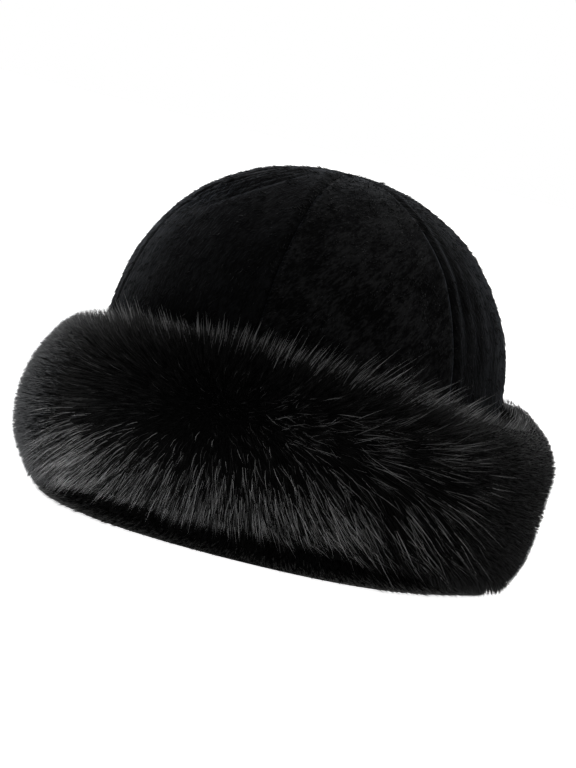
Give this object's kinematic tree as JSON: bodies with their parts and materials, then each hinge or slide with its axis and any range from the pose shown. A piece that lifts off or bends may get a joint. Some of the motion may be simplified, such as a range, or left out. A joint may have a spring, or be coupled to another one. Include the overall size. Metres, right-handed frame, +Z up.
{
  "type": "fur-trimmed hat",
  "caption": "Winter hat with a rounded crown of sewn gores in short black pile and a turned-up brim trimmed all round with long black fur.",
  "frame": {"origin": "centre of the rim, on the surface that the hat rests on", "axes": "+Z up through the top of the crown, -Y towards the front seam of the crown, +X to the right as seen from the front, so that +Y is the hat's length from front to back"},
  "size_m": [0.2502, 0.2596, 0.178],
  "materials": {
    "crown_pile": "short sheared pile, soft and mottled, with a bluish grey sheen at grazing angles",
    "brim_pile": "short dark pile",
    "long_fur": "long glossy black fur with greyer tips"
  },
  "bodies": {
    "root": {"crown_gore_front_right": "crown_pile", "crown_gore_right": "crown_pile", "crown_gore_back_right": "crown_pile", "crown_gore_back_left": "crown_pile", "crown_gore_left": "crown_pile", "crown_gore_front_left": "crown_pile", "brim": "brim_pile", "fur_trim": "long_fur"}
  },
  "joints": []
}
